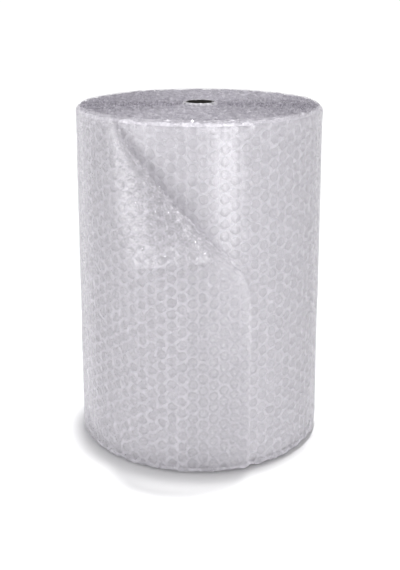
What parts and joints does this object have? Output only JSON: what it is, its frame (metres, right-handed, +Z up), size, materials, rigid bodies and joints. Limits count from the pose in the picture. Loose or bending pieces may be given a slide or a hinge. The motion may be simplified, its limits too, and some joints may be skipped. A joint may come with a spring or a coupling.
{
  "type": "bubble wrap roll",
  "caption": "Standing roll of clear large-bubble cushioning wrap wound on a cardboard core tube, its loose upper corner folded down over the front.",
  "frame": {"origin": "on the axis of the core bore, at the bottom end of the roll that it stands on", "axes": "+Z up along the core; -Y is the front, where the free edge and the folded corner are; +X to the right seen from the front"},
  "size_m": [0.7169, 0.8177, 1],
  "materials": {
    "core_board": "matt wound paper board",
    "bubble_film": "clear glossy film that looks milky where turns lie over each other"
  },
  "bodies": {
    "root": {"core_tube": "core_board", "bubble_web": "bubble_film"}
  },
  "joints": []
}
